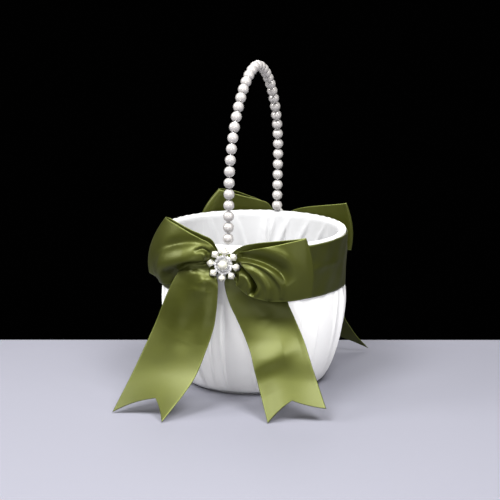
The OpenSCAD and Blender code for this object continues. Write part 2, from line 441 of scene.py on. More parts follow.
def satin(name, light, dark, metallic, roughness, sheen, thread, edge=None, gloss=0.0):
    """A woven, slightly uneven cloth. edge is the colour of a ribbon's two edges: partly their woven
    border and partly a painted highlight where they catch the light. gloss is the weight of the coat over
    it."""
    material = bpy.data.materials.new(name)
    material.use_nodes = True
    tree = material.node_tree
    shader = shader_of(material)
    where = tree.nodes.new("ShaderNodeUVMap")
    where.uv_map = "UVMap"
    cloth = add_group(material, weave, Thread=thread, Slub=0.5)
    patches = add_group(material, mottle, Scale=55, Contrast=1.1)
    tree.links.new(where.outputs[0], cloth.inputs["Vector"])
    tree.links.new(where.outputs[0], patches.inputs["Vector"])
    colour = mix_colours(tree, patches.outputs["Mask"], dark, light)
    # the edges' lighter colour is partly the woven border and partly a painted highlight
    if edge:
        edge_and_highlight_mask = add_group(material, woven_edge_and_highlight)
        tree.links.new(where.outputs[0], edge_and_highlight_mask.inputs["Vector"])
        colour = mix_colours(tree, edge_and_highlight_mask.outputs["Mask"], colour, edge)
    tree.links.new(colour, shader.inputs["Base Color"])
    rough = tree.nodes.new("ShaderNodeMapRange")
    rough.inputs["To Min"].default_value = roughness - ROUGH_DOWN
    rough.inputs["To Max"].default_value = roughness + ROUGH_UP
    tree.links.new(patches.outputs["Mask"], rough.inputs["Value"])
    tree.links.new(rough.outputs[0], shader.inputs["Roughness"])
    bump = tree.nodes.new("ShaderNodeBump")
    bump.inputs["Strength"].default_value = 0.12
    bump.inputs["Distance"].default_value = 0.0001
    tree.links.new(cloth.outputs["Height"], bump.inputs["Height"])
    tree.links.new(bump.outputs[0], shader.inputs["Normal"])
    shader.inputs["Metallic"].default_value = metallic
    shader.inputs["Sheen Weight"].default_value = sheen
    shader.inputs["Sheen Roughness"].default_value = 0.4
    shader.inputs["Specular IOR Level"].default_value = 0.3 if gloss else 0.6
    shader.inputs["Coat Weight"].default_value = gloss
    shader.inputs["Coat Roughness"].default_value = 0.26
    return material


ribbon_satin = satin(
    "olive_satin", (0.0515, 0.0575, 0.0055), (0.0365, 0.041, 0.0038), 0.62, 0.41, 0.0, 0.0005,
    # the edge colour is partly the woven border and partly a painted highlight
    edge=(0.095, 0.108, 0.022), gloss=0.1,
)
white_satin = satin(
    "white_satin", (0.89, 0.88, 0.86), (0.83, 0.825, 0.815), 0.0, 0.36, 0.05, 0.0006)
# painted shade: the lining is the same white satin as the cover, given a much darker colour so that the lit
# inside doesn't glare and its creases show
shaded_lining_satin = satin(
    "shaded_lining_satin", (0.47, 0.47, 0.47), (0.43, 0.43, 0.44), 0.0, 0.42, 0.05, 0.0006)
print("satins:", ribbon_satin.name, white_satin.name, shaded_lining_satin.name)

# %% [markdown]
# ## Sheets of cloth
#
# Every ribbon and cover is a real sheet. We start with a flat grid, which also gives the sheet its UV
# map, and lay it through *stations*: each station is three points across the cloth, one on each edge and
# one in the middle. Between stations the sheet follows a smooth curve. *Folds* are then pressed into it
# along lines drawn over the bow as it is seen from the front, as a hand would press them, and *gathers*
# pleat it where a knot pulls it together. Last it gets a thin wall, and its fine grid is shaded smooth.
# Cloth simulation isn't used, because it would lose the folds that were pressed in.


# %% A surface through stations
class Surface:
    """A smooth surface through stations of three points, in millimetres."""

    def __init__(self, stations):
        self.points = np.array(stations, float) * MM
        steps = np.linalg.norm(np.diff(self.points, axis=0), axis=2).mean(axis=1)
        self.run = np.concatenate([[0], np.cumsum(steps)])
        self.length = self.run[-1]
        self.slopes = np.empty_like(self.points)
        span = (self.run[2:] - self.run[:-2])[:, None, None]
        self.slopes[1:-1] = (self.points[2:] - self.points[:-2]) / span
        self.slopes[0] = (self.points[1] - self.points[0]) / steps[0]
        self.slopes[-1] = (self.points[-1] - self.points[-2]) / steps[-1]

    def at(self, u, v):
        """Points for u from 0 to 1 along the cloth and v from -1 to 1 across it."""
        s = np.clip(u, 0, 1) * self.length
        i = np.clip(np.searchsorted(self.run, s, side="right") - 1, 0, len(self.run) - 2)
        h = (self.run[i + 1] - self.run[i])[:, None, None]
        f = ((s - self.run[i]) / (self.run[i + 1] - self.run[i]))[:, None, None]
        rails = (
            (2 * f**3 - 3 * f**2 + 1) * self.points[i]
            + (f**3 - 2 * f**2 + f) * h * self.slopes[i]
            + (3 * f**2 - 2 * f**3) * self.points[i + 1]
            + (f**3 - f**2) * h * self.slopes[i + 1]
        )
        v = v[:, None]
        return (
            v * (v - 1) / 2 * rails[:, 0] + (1 - v * v) * rails[:, 1] + v * (v + 1) / 2 * rails[:, 2]
        )

    def normal(self, u, v, e=1e-3):
        along = self.at(u + e, v) - self.at(u - e, v)
        across = self.at(u, np.minimum(v + e, 1)) - self.at(u, np.maximum(v - e, -1))
        n = np.cross(along, across)
        return n / np.maximum(np.linalg.norm(n, axis=1), 1e-12)[:, None]


# %% Folds along drawn lines
LINE_POINTS = 40  # for each point that a line is drawn through
FOLD_FADE = (0, 0.25, 0.75, 1)


def drawn_line(points):
    """A smooth line of many points through a few, and how far along it each one is."""
    control = np.array(points, float)
    t = np.linspace(0, len(control) - 1, LINE_POINTS * len(control))
    i = np.clip(t.astype(int), 0, len(control) - 2)
    f = (t - i)[:, None]
    ends = np.vstack([2 * control[0] - control[1], control, 2 * control[-1] - control[-2]])
    a, b, c, d = (ends[i + k] for k in range(4))
    line = b + (c - a) * f / 2 + (a - 2.5 * b + 2 * c - d / 2) * f**2
    line += (1.5 * (b - c) + (d - a) / 2) * f**3
    return line, t / (len(control) - 1)


def fold_height(x, z, points, high, above, below, start=1.0, end=1.0):
    """Height of one fold. Its line is drawn in millimetres as seen from the front; above and below
    are its widths to the left and right of the way it is drawn, and start and end fade it out."""
    line, share = drawn_line(points)
    way = np.gradient(line, axis=0)
    dx = x[:, None] - line[None, :, 0]
    dz = z[:, None] - line[None, :, 1]
    far = np.hypot(dx, dz)
    nearest = far.argmin(axis=1)
    rows = np.arange(len(x))
    turned_left = way[nearest, 0] * dz[rows, nearest] - way[nearest, 1] * dx[rows, nearest] > 0
    wide = np.where(turned_left, above, below)
    fade = np.interp(share[nearest], FOLD_FADE, [start, 1, 1, end])
    return high * MM * fade * np.exp(-((far[rows, nearest] / wide) ** 2))


# %% Flat grids and their UV map
def scale_uv(piece, length, width):
    """Makes a grid's UV map read in metres along and across the cloth."""
    layer = piece.data.uv_layers[0]
    layer.name = "UVMap"
    uv = np.empty(len(layer.data) * 2)
    layer.data.foreach_get("uv", uv)
    uv = uv.reshape(-1, 2) * (length, width)
    layer.data.foreach_set("uv", uv.ravel())


def flat_grid(name, along, across):
    """A new grid of the unit square about the origin, and its corner points."""
    deselect()
    bpy.ops.mesh.primitive_grid_add(x_subdivisions=along, y_subdivisions=across, size=1)
    piece = named(name)
    flat = np.empty(len(piece.data.vertices) * 3)
    piece.data.vertices.foreach_get("co", flat)
    return piece, flat.reshape(-1, 3)


# %% A sheet of ribbon
RIBBON = 0.04
KNOT_HEIGHT = 105  # millimetres, as the stations are
KNOT_REACH = 10  # no fold rises nearer to the knot's middle than this
KNOT_BLEND = 6


def cloth_sheet(
    name, stations, along, across, folds=(), extra=None, behind=None, cut=None, front_from=0.0
):
    """A sheet laid through its stations, with folds pressed into the part of it past front_from.
    behind is (stretch across, stretch up) for a ribbon at the back: it is made as a front one and
    then reflected to the back. cut shapes the cloth's end."""
    piece, flat = flat_grid(name, along, across)
    u, v = flat[:, 0] + 0.5, flat[:, 1] * 2
    if cut is not None:
        u = cut(u, v)
    surface = Surface(stations)
    placed = surface.at(u, v)
    x, z = placed[:, 0] / MM, placed[:, 2] / MM
    lifted = np.zeros(len(u))
    for fold in folds:
        lifted += fold_height(x, z, *fold)
    lifted *= np.clip((u - front_from) * 12, 0, 1) if front_from else 1
    from_knot = np.hypot(x, z - KNOT_HEIGHT)
    clear_of_knot = np.clip((from_knot - KNOT_REACH) / KNOT_BLEND, 0, 1)
    lifted = np.where(lifted > 0, lifted * clear_of_knot, lifted)
    if extra is not None:
        lifted += extra(u, v) * MM
    placed = placed + surface.normal(u, v) * lifted[:, None]
    if behind:
        placed[:, 0] *= behind[0]
        placed[:, 1] *= -1
        placed[:, 2] = KNOT_HEIGHT * MM + (placed[:, 2] - KNOT_HEIGHT * MM) * behind[1]
    piece.data.vertices.foreach_set("co", placed.ravel())
    scale_uv(piece, surface.length, RIBBON)
    piece.data.update()
    return piece


# %% The wall of a sheet, and gathers
RIBBON_THICK = 0.35 * MM
COVER_THICK = 0.3 * MM


def finish_sheet(piece, thickness):
    thicken(piece, thickness)
    apply_modifiers(piece)
    return shade_smooth(piece)


def gather(depth, count, reach, phase=0.0, where=0.0):
    """Pleats across a ribbon, depth millimetres high, that fade out along it from u = where."""

    def height(u, v):
        away = np.abs(u - where) / reach
        return depth * np.exp(-away) * np.cos(math.pi * count * v + phase)

    return height


# %% [markdown]
# ## The right loop of the front bow
#
# A loop is one length of ribbon that leaves the knot, folds over, and comes back in front of itself. We
# list its stations in that order: top edge, middle, bottom edge. The knot squeezes 40 mm of ribbon to
# about a third of that, and the spare cloth shows as long folds that sweep down and outwards and end
# in a deep pocket beside the brooch.

# %% Front right loop
FRONT_RIGHT_LOOP = [
    [(4, -75.5, 112), (4, -75.5, 105), (4, -75.5, 98)],
    [(12, -76, 118.5), (12, -75, 106), (12, -75, 93)],
    [(23, -76.5, 121.8), (23, -74.5, 105), (24, -74, 88)],
    [(34, -76.5, 123.6), (34, -74.5, 105), (36, -74, 85.5)],
    [(48, -76, 125.6), (49, -74.3, 105.5), (49, -74, 84.5)],
    [(57, -75.5, 127), (61, -74.6, 106), (60, -74.6, 85)],
    [(60, -75.2, 127.6), (65.4, -74.9, 106), (64.3, -75, 85)],
    [(60.8, -75.8, 127.8), (66.6, -75.8, 106), (65.4, -75.8, 85)],
    [(60, -76.5, 127.5), (65.4, -76.9, 106), (64.3, -76.8, 84.8)],
    [(56, -77.6, 126.3), (61, -79, 105), (58, -79, 83)],
    [(43, -80.5, 123), (47, -83.5, 104), (47, -82.5, 81.6)],
    [(32, -82.3, 120.4), (33, -86, 103), (36.5, -85.5, 81.8)],
    [(21, -81.4, 117.8), (21, -84.5, 103), (25, -86.5, 84)],
    [(11, -78.4, 114.6), (11, -79, 104), (14, -82, 88.2)],
    [(4, -77.5, 110), (4, -77.5, 104.5), (4, -78, 99)],
]
FRONT_RIGHT_FOLDS = [
    # a broad hollow under the top edge, and the swelling that follows it out to the fold
    ([(9, 111), (22, 111.5), (34, 109), (44, 103), (50, 94)], -3.8, 6.5, 1.6, 1.0, 0.0),
    ([(14, 118), (30, 118.5), (44, 115.5), (58, 107)], 1.4, 3.5, 5.0, 0.6, 0.2),
    # a thin sweeping ridge, steep on its inner side
    ([(13, 108.8), (22, 109), (31, 106.5), (39, 101), (44.5, 93), (45, 85)], 1.6, 2.0, 1.2, 0.7, 0.5),
    # the full roll inside it
    ([(16, 106.8), (24, 104), (31, 99), (35.5, 92), (36, 85)], 2.4, 2.6, 3.4, 0.4, 0.8),
    # the lip of the pocket, the pocket and its inner lip
    ([(14, 107.5), (20, 103.5), (25.5, 97.5), (28.6, 91), (26.5, 87), (22, 85.5)], 1.7, 2.0, 0.9, 0.6, 0.6),
    ([(12, 104.5), (18, 101.5), (22.6, 97), (25.4, 91.5), (24, 87.5)], -6.0, 1.9, 2.1, 1.0, 0.8),
    ([(17, 101), (21, 97), (22.8, 92), (21.5, 87.5)], 1.3, 0.7, 2.2, 0.4, 1.0),
    # the turned edge below the knot
    ([(11.5, 102), (14, 98), (13, 93), (8.5, 90)], 2.2, 2.4, 1.0, 0.4, 0.8),
    ([(6, 99), (9.5, 96.5), (10, 93.5)], -2.0, 1.8, 1.8, 1.0, 1.0),
]


LOOP_GRID = (250, 70)
LOOP_FRONT = 0.55  # the share of a loop's length where its front begins


def loop_piece(name, stations, folds, pleats, node, behind=None):
    piece = cloth_sheet(name, stations, *LOOP_GRID, folds, pleats, behind, front_from=LOOP_FRONT)
    finish_sheet(piece, RIBBON_THICK)
    finish_piece(piece, ribbon_satin, "ribbon_green", "basket", node)
    length = Surface(stations).length
    print(name, f"ribbon length {length:.3f} m")
    return piece


def both_gathers(first, second):
    return lambda u, v: first(u, v) + second(u, v)


loop_piece(
    "front_loop_right_ribbon", FRONT_RIGHT_LOOP, FRONT_RIGHT_FOLDS,
    both_gathers(gather(0.5, 2.5, 0.06), gather(0.5, 3, 0.03, 0.6, 1.0)),
    "front_bow_loop_right",
)

# %% [markdown]
# ## The left loop
#
# The left loop is shorter and lifted, and it leans back against the basket, so its outer fold is in
# shadow and a bright band runs from the knot to its lower corner. The left tail crosses in front of it.

# %% Front left loop
FRONT_LEFT_LOOP = [
    [(-4, -75.5, 98), (-4, -75.5, 105), (-4, -75.5, 112)],
    [(-11, -75, 95), (-11, -75.5, 107), (-9, -76, 122)],
    [(-22, -72.5, 92), (-21, -74, 109), (-17, -75, 125.6)],
    [(-34, -68.5, 91), (-32, -71, 110), (-27, -72, 128.4)],
    [(-47, -63, 91), (-44, -65.5, 111), (-37, -68, 131.6)],
    [(-57, -60, 91.6), (-55, -60.5, 112), (-45, -65, 134.4)],
    [(-62.5, -62, 92.5), (-61, -62, 113), (-47.8, -66.5, 135.3)],
    [(-59, -66, 91.5), (-57.5, -68, 112), (-45, -70, 134.6)],
    [(-48, -71, 89.8), (-46, -76.5, 110.5), (-36, -75.5, 132)],
    [(-36, -75.5, 88.6), (-33, -81, 108.5), (-26, -79, 127.8)],
    [(-25, -77.5, 88.8), (-22, -82, 107.5), (-17, -80.5, 124)],
    [(-14, -77, 92), (-12, -78.6, 106.5), (-9, -78.4, 119.4)],
    [(-4, -77, 100), (-4, -77.5, 105.5), (-4, -77, 112)],
]
FRONT_LEFT_FOLDS = [
    # the foremost line: it climbs from the lower corner, turns, and runs in to the knot
    ([(-43, 88), (-46, 95), (-44, 101), (-36, 105), (-24, 108.5), (-11, 110)], 6.2, 9.5, 4.5, 0.8, 0.6),
    # the hollow above the shining slope
    ([(-49, 113), (-37, 118), (-22, 121), (-11, 120.5)], -1.7, 4.0, 3.0, 0.3, 0.6),
    # the deep crease over the tail's shoulder
    ([(-31, 103), (-25, 105.7), (-17, 106.3), (-8, 103.5)], -3.6, 1.4, 2.6, 0.3, 1.0),
    # the pinch beside the brooch, with a small swelling in it
    ([(-19, 115.5), (-15, 116.5), (-11, 114)], -1.9, 1.4, 1.4, 0.6, 1.0),
    ([(-14.8, 113), (-14.2, 111.5)], 1.1, 1.3, 1.3, 1.0, 1.0),
]
loop_piece(
    "front_loop_left_ribbon", FRONT_LEFT_LOOP, FRONT_LEFT_FOLDS,
    both_gathers(gather(0.5, 2.5, 0.06), gather(0.5, 2.5, 0.03, 0.4, 1.0)),
    "front_bow_loop_left",
)

# %% [markdown]
# ## The tails
#
# The two ends of the ribbon hang from the knot, kick forward and rest their tips on the table. The left
# one lies over its loop with a rounded shoulder, and the right one comes out from behind its loop. Each
# ends in a swallow-tail cut. The cut is made in the sheet itself: the last part of the cloth is drawn
# back towards the middle of its end, so the grid follows the V and needs no trimming.

# %% Stations and folds of the front tails
TAIL_LEFT = [
    [(-7, -77.5, 101), (-7, -77.5, 105), (-8, -77.5, 109)],
    [(-5, -78.4, 94), (-12.5, -79.4, 101.5), (-17, -79.5, 108)],
    [(-3.6, -81, 89), (-17, -84.2, 96.5), (-28, -80.3, 105.5)],
    [(-3.4, -82.5, 82), (-19.5, -86, 88), (-35.5, -81.5, 95)],
    [(-3.8, -84.5, 71), (-22.5, -87.6, 76.5), (-42, -84, 81)],
    [(-4.8, -87.2, 60), (-26, -89.7, 62.5), (-48.5, -87.2, 63)],
    [(-8, -95, 45), (-31.5, -96, 46), (-55, -94.5, 45)],
    [(-14, -109, 25), (-37.5, -106.5, 27.5), (-62, -105, 25.5)],
    [(-29, -135.5, 0.6), (-49, -126, 5), (-70.8, -123, 1)],
]
LEFT_TAIL_FOLDS = [
    # the round shoulder, its ridge and the dimples below the knot
    ([(-26, 101.3), (-17, 102), (-8, 101)], 1.2, 1.5, 2.4, 0.2, 0.8),
    ([(-13, 93.3), (-9, 94)], -1.1, 2.6, 3.6, 0.9, 1.0),
    ([(-21, 87), (-13, 86.2)], -0.6, 2.2, 3.6, 0.5, 1.0),
    # long soft ripples further down
    ([(-16, 82), (-22, 66), (-27, 50)], 0.8, 6.0, 6.0, 0.2, 0.5),
    ([(-33, 88), (-33, 72), (-38, 58)], -0.6, 6.0, 6.0, 0.5, 0.3),
    ([(-8, 76), (-12, 62), (-13, 48)], -0.6, 5.0, 5.0, 0.5, 0.3),
]
TAIL_RIGHT = [
    [(1, -74, 98), (4, -73.5, 99), (7, -73, 100)],
    [(-0.6, -74.6, 91.5), (11, -71.8, 93), (22, -69.8, 95)],
    [(1, -76, 84), (21, -71, 86), (41, -67.5, 86)],
    [(4.4, -77, 75), (26.5, -73.5, 77), (47.5, -70.5, 75)],
    [(10, -78.5, 65), (32.5, -75.5, 65.5), (53, -72.5, 65)],
    [(17.6, -83, 52.5), (39, -81.5, 53), (60.2, -77, 52)],
    [(24.4, -89.5, 41), (45.5, -89, 40), (67, -84, 39)],
    [(30, -97, 28), (53, -96, 26.5), (74, -90.5, 25)],
    [(44.2, -117, 0.6), (63, -111, 6), (83, -101, 10)],
]
RIGHT_TAIL_FOLDS = [
    # the soft bend that crosses the ribbon, and the hollow under it
    ([(20, 29), (30, 34.5), (44, 42), (58, 49)], 1.8, 10.0, 6.5, 1.0, 0.2),
    ([(12, 84), (26, 72), (34, 64)], -0.7, 6.0, 6.0, 0.8, 0.4),
    ([(38, 24), (44, 12), (48, 4)], -0.5, 6.0, 6.0, 0.4, 1.0),
]

# %% Swallow-tail cut, and both front tails
TAIL_GRID = (190, 64)
NOTCH = 0.1
NOTCH_FROM = 0.6  # the share of a tail's length where its cloth starts to be drawn back


def swallow_tail(deepest):
    """Draws the cloth's end back into a V, most at deepest and not at all at the two tips."""

    def cut(u, v):
        side = np.where(v < deepest, (v + 1) / (deepest + 1), (1 - v) / (1 - deepest))
        return u - NOTCH * side * np.clip((u - NOTCH_FROM) / (1 - NOTCH_FROM), 0, 1) ** 1.5

    return cut


def tail_piece(name, stations, folds, node, deepest, behind=None):
    cut = swallow_tail(deepest)
    piece = cloth_sheet(name, stations, *TAIL_GRID, folds, gather(0.6, 3, 0.07), behind, cut)
    finish_sheet(piece, RIBBON_THICK)
    finish_piece(piece, ribbon_satin, "ribbon_green", "basket", node)
    length = Surface(stations).length
    print(name, f"ribbon length {length:.3f} m")
    return piece


tail_piece("front_tail_left_ribbon", TAIL_LEFT, LEFT_TAIL_FOLDS, "front_bow_tail_left", -0.25)
tail_piece("front_tail_right_ribbon", TAIL_RIGHT, RIGHT_TAIL_FOLDS, "front_bow_tail_right", 0.0)

# %% [markdown]
# ## The back bow
#
# The back bow is tied from the same ribbon, so its loops reuse the front ones' stations, reflected to
# the back and stretched a little, with folds of their own. Its tails hang nearly straight down and rest
# their ends on the table.

# %% Back loops
BACK_LEFT_FOLDS = [
    ([(-8, 116), (-20, 118), (-34, 114), (-48, 110)], 1.8, 4.0, 4.0, 0.8, 0.5),
    ([(-8, 109), (-20, 109), (-34, 104), (-44, 97)], -2.2, 2.5, 3.5, 1.0, 0.4),
    ([(-8, 104), (-18, 102), (-28, 96), (-33, 90)], 1.8, 2.5, 1.3, 0.7, 0.7),
    ([(-7, 100), (-14, 98), (-20, 93)], -2.4, 1.5, 2.0, 1.0, 0.6),
]
BACK_RIGHT_FOLDS = [
    ([(8, 114), (20, 115), (34, 111), (50, 104)], -2.0, 3.5, 4.5, 1.0, 0.3),
    ([(9, 108), (20, 108), (32, 102), (42, 92)], 1.8, 4.0, 1.3, 0.7, 0.6),
    ([(9, 104), (18, 101), (27, 95), (32, 87)], -2.2, 1.8, 3.0, 1.0, 0.6),
    ([(9, 101), (15, 97), (20, 90)], 1.8, 1.2, 2.0, 0.6, 0.8),
]
loop_piece(
    "back_loop_left_ribbon", FRONT_LEFT_LOOP, BACK_LEFT_FOLDS,
    both_gathers(gather(0.5, 2.5, 0.06, 0.4), gather(0.5, 3, 0.04, 0.9, 1.0)),
    "back_bow_loop_left", (1.0, 0.92),
)
loop_piece(
    "back_loop_right_ribbon", FRONT_RIGHT_LOOP, BACK_RIGHT_FOLDS,
    both_gathers(gather(0.5, 3, 0.06, 0.2), gather(0.5, 2.5, 0.04, 0.5, 1.0)),
    "back_bow_loop_right", (0.89, 0.88),
)

# %% Back tails
BACK_TAIL = [
    [(1, -74, 98), (4, -73.5, 99), (7, -73, 100)],
    [(1.5, -75.5, 89), (12, -72.5, 91), (23, -70, 93)],
    [(2.4, -77, 79), (21, -73.5, 81), (41, -70.5, 81)],
    [(3.4, -79.5, 63), (24.5, -77.5, 64), (44.5, -75, 63)],
    [(5.5, -83, 47), (27, -81, 47), (47.5, -79, 46)],
    [(9, -89, 29), (31, -86.5, 29), (52, -84.5, 29)],
    [(15, -95, 15), (38, -93, 16), (59, -91, 15)],
    [(24, -101, 0.6), (46, -99, 4), (68, -98, 2.5)],
]
BACK_TAIL_FOLDS = [
    ([(6, 70), (20, 60), (34, 46)], 1.7, 5.0, 5.0, 0.6, 0.5),
    ([(40, 74), (34, 58), (38, 40)], -1.4, 5.0, 4.0, 0.6, 0.5),
    ([(10, 88), (18, 80), (24, 72)], -1.2, 2.5, 3.0, 1.0, 0.3),
    ([(18, 24), (36, 26), (54, 20)], 1.0, 5.0, 5.0, 0.5, 0.5),
]
tail_piece(
    "back_tail_right_ribbon", BACK_TAIL, BACK_TAIL_FOLDS, "back_bow_tail_right", 0.1, (1, 1)
)
tail_piece(
    "back_tail_left_ribbon", BACK_TAIL, BACK_TAIL_FOLDS[1:], "back_bow_tail_left", -0.1, (-1, 1)
)

# %% [markdown]
# ## The knots
#
# Each knot is a short length of the same ribbon wound round the middle of the bow. It is folded to half
# its width, 20 mm, and squeezed to about 14, which shows as upright pleats. We lay a grid round a flat
# oval and close its seam, with its sides drawn in like a barrel's.

# %% Knots
KNOT_GRID = (48, 26)
KNOT_PLEATS = 3.5
KNOT_HALF_WIDTH = 7.2
KNOT_PLEAT_DEPTH = 0.05
KNOT_SIDES = 0.35  # how far the knot's two ends are drawn in
KNOT_ROUND = 0.006  # about the knot's radius, for the scale of its threads


def knot_piece(name, node, turned):
    low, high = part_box(node)
    middle = (low + high) / 2
    half_deep = (high.y - low.y) / 2
    half_tall = (high.z - low.z) / 2
    piece, flat = flat_grid(name, *KNOT_GRID)
    turn = flat[:, 0] * 2 * math.pi
    side = flat[:, 1] * 2
    pleat = KNOT_PLEAT_DEPTH * np.cos(side * math.pi * KNOT_PLEATS + 0.4 * np.sin(turn))
    round_off = np.sqrt(np.clip(1 - (0.93 * side) ** 2, 0, 1)) ** 0.7
    size = (0.94 + pleat) * (KNOT_SIDES + (1 - KNOT_SIDES) * round_off)
    facing = 1 if turned else -1
    placed = np.stack(
        [
            side * KNOT_HALF_WIDTH * MM * (0.9 + 0.1 * np.cos(turn)),
            middle.y + facing * half_deep * size * np.cos(turn),
            middle.z + half_tall * size * np.sin(turn),
        ],
        axis=1,
    )
    piece.data.vertices.foreach_set("co", placed.ravel())
    scale_uv(piece, 2 * math.pi * KNOT_ROUND, RIBBON)
    in_edit_mode(piece, merge_doubles, face_outwards)
    finish_sheet(piece, COVER_THICK)
    finish_piece(piece, ribbon_satin, "ribbon_green", "basket", node)
    print(name, "size in mm", [round(d / MM, 1) for d in piece.dimensions])
    return piece


knot_piece("front_knot_ribbon", "front_bow_knot", False)
knot_piece("back_knot_ribbon", "back_bow_knot", True)

# %% [markdown]
# ## The satin cover
#
# The cover is one tube of satin, gathered under the base, pulled up the wall and rolled over the rim.
# Because it is wider than the tub, the spare cloth stands in upright pleats that fade out under the
# ribbon. We place a grid round the measured outline and raise two dozen irregular pleats on it.


# %% Round sheets of cloth
def round_sheet(name, columns, rows, place, flat_size):
    """A sheet that goes all the way round the basket: place turns angles and heights (both arrays)
    into points."""
    piece, flat = flat_grid(name, columns, rows)
    placed = place(flat[:, 0] * 2 * math.pi, flat[:, 1] + 0.5)
    piece.data.vertices.foreach_set("co", placed.ravel())
    scale_uv(piece, *flat_size)
    in_edit_mode(piece, merge_doubles, face_outwards)
    return piece


def round_points(angle, radius, height):
    return np.stack([radius * np.cos(angle), radius * np.sin(angle), height], axis=1)


def pleat_field(seed, count, reach):
    """Irregular upright pleats, about reach high: returns a function of angle and share of height,
    in millimetres."""
    rng = random.Random(seed)
    pleats = []
    for i in range(count):
        middle = 2 * math.pi * (i + rng.uniform(-0.35, 0.35)) / count
        wide = rng.uniform(0.032, 0.08)
        high = rng.uniform(0.5, 1.35)
        slant = rng.uniform(-0.09, 0.09)
        centre = rng.uniform(0.35, 0.8)
        spread = rng.uniform(0.25, 0.55)
        lay = rng.choice((0.22, 0.3, 1.0, 3.0))  # which side is the steep one
        pleats.append((middle, wide, high, slant, centre, spread, lay))

    def height(angle, share):
        total = np.zeros(len(angle))
        for middle, wide, high, slant, centre, spread, lay in pleats:
            off = (angle - middle - slant * (share - 0.5) + math.pi) % (2 * math.pi) - math.pi
            along = np.exp(-(((share - centre) / spread) ** 2))
            side = np.where(off > 0, wide * min(lay, 1), wide / max(lay, 1))
            total += high * along * np.exp(-((off / side) ** 2))
        return total * reach

    return height


# %% Outer cover and rim
COVER_FLAT = (0.47, 0.138)
COVER_GRID = (760, 46)
HEM = 0.0007
HEM_RISE = 0.012  # the pleats grow over this much above the hem
RIBBON_PRESS = 0.0025  # and are pressed flat over this much at the ribbon's lower edge
WALL_SHARE = 0.87  # the share of the cloth that is on the wall; the rest is rolled over the rim
# the rim's cross-section: share of the way in from the outer face, and share of the way up
RIM_IN = [0, 0.05, 0.14, 0.32, 0.6, 0.85, 0.98]
RIM_UP = [0.25, 0.85, 1.0, 0.82, 0.5, 0.3, 0.05]
RIM_STEPS = np.append(0, np.linspace(0.15, 1, len(RIM_IN)))
roll_z = cover_z[-1]
roll_in = lining_r[-1]
cover_pleats = pleat_field(11, 24, 2.2)


def place_cover(angle, v):
    wall = np.clip(v / WALL_SHARE, 0, 1)
    z = HEM + (roll_z - HEM) * wall
    radius = np.interp(z, cover_z, cover_r)
    below_ribbon = 1 / (1 + np.exp((z - band_low.z + 0.004) / RIBBON_PRESS))
    at_hem = np.clip((z - HEM) / HEM_RISE, 0, 1) ** 0.5
    radius = radius + cover_pleats(angle, wall) * MM * (0.1 + 0.9 * below_ribbon) * at_hem
    over = np.clip((v - WALL_SHARE) / (1 - WALL_SHARE), 0, 1)
    inwards = np.interp(over, RIM_STEPS, np.append(0, RIM_IN))
    upwards = np.interp(over, RIM_STEPS, np.append(0, RIM_UP))
    pucker = 0.9 + 0.1 * np.sin(angle * 47 + 2 * np.sin(angle * 7))
    radius = np.where(v > WALL_SHARE, rim_r - (rim_r - roll_in) * inwards, radius)
    z = np.where(v > WALL_SHARE, roll_z + (rim_z - roll_z) * upwards * pucker, z)
    return round_points(angle, radius, z)


cover = round_sheet("satin_cover", *COVER_GRID, place_cover, COVER_FLAT)
finish_sheet(cover, COVER_THICK)
finish_piece(cover, white_satin, "satin_white", "basket", "outer_cover", "rim_fold")
print("cover faces:", len(cover.data.polygons))

# %% [markdown]
# ## The lining
#
# The lining is a second tube, pressed flat against the inside with broad folds, and its last part runs
# over the rim on top of the cover. Where the wire of the handle goes down behind it, the cloth is pulled
# to a point, and creases fan out below. Each crease is steep on one side and gentle on the other, as
# cloth that has been pulled aside is.

# %% Creases of the lining
LINING_FLAT = (0.42, 0.118)
LINING_GRID = (560, 56)
LINING_LOW = 0.0065
LINING_PROUD = 0.0002
LINING_WALL = 0.94  # the share of the cloth that is on the wall
LINING_OVER = 0.75  # how far over the rim the rest goes
LINING_TUCK = 0.0001
lining_pleats = pleat_field(5, 17, 1.5)
HANDLE_ANGLES = (math.pi / 2, -math.pi / 2)
# creases near a root of the handle: angle from it, drift on the way down and height in mm
ROOT_CREASES = (
    (0.12, 0.05, 2.6), (0.0, 0.4, 1.3), (-0.2, 0.7, 1.8), (-0.5, 0.9, 1.8), (-0.8, 1.0, 1.6),
    (0.5, -0.5, 1.2), (0.85, -0.6, 1.0),
)
CREASE_GENTLE, CREASE_STEEP = 0.045, 0.014
CREASE_LENGTH = 0.5


def fan(angle, share):
    """Creases that spread downwards from the two roots of the handle."""
    total = np.zeros(len(angle))
    for root in HANDLE_ANGLES:
        off = (angle - root + math.pi) % (2 * math.pi) - math.pi
        down = np.clip(1 - share, 0, 1)
        for start, drift, depth in ROOT_CREASES:
            aside = off - start - drift * down
            wide = np.where(aside > 0, CREASE_GENTLE, CREASE_STEEP) * (1 + 2 * down)
            fade = np.exp(-((down / CREASE_LENGTH) ** 2)) * np.clip(down * 9, 0, 1)
            total += depth * fade * np.exp(-((aside / wide) ** 2))
    return total


# %% Lining
def place_lining(angle, v):
    wall = np.clip(v / LINING_WALL, 0, 1)
    over = np.clip((v - LINING_WALL) / (1 - LINING_WALL), 0, 1)
    z = LINING_LOW + (roll_z - LINING_LOW) * wall
    radius = np.interp(z, lining_z, lining_r)
    calm = 0.35 + 0.65 * np.clip((1 - wall) * 9, 0, 1)
    inwards = lining_pleats(angle, wall) * calm + fan(angle, wall)
    radius = radius - LINING_PROUD - inwards * MM * (1 - over)
    radius = radius + (rim_r - roll_in) * LINING_OVER * over
    z = z + (rim_z - roll_z - LINING_TUCK) * np.sin(over * math.pi / 2)
    return round_points(angle, radius, z)


lining = round_sheet("pleated_lining", *LINING_GRID, place_lining, LINING_FLAT)
finish_sheet(lining, COVER_THICK)
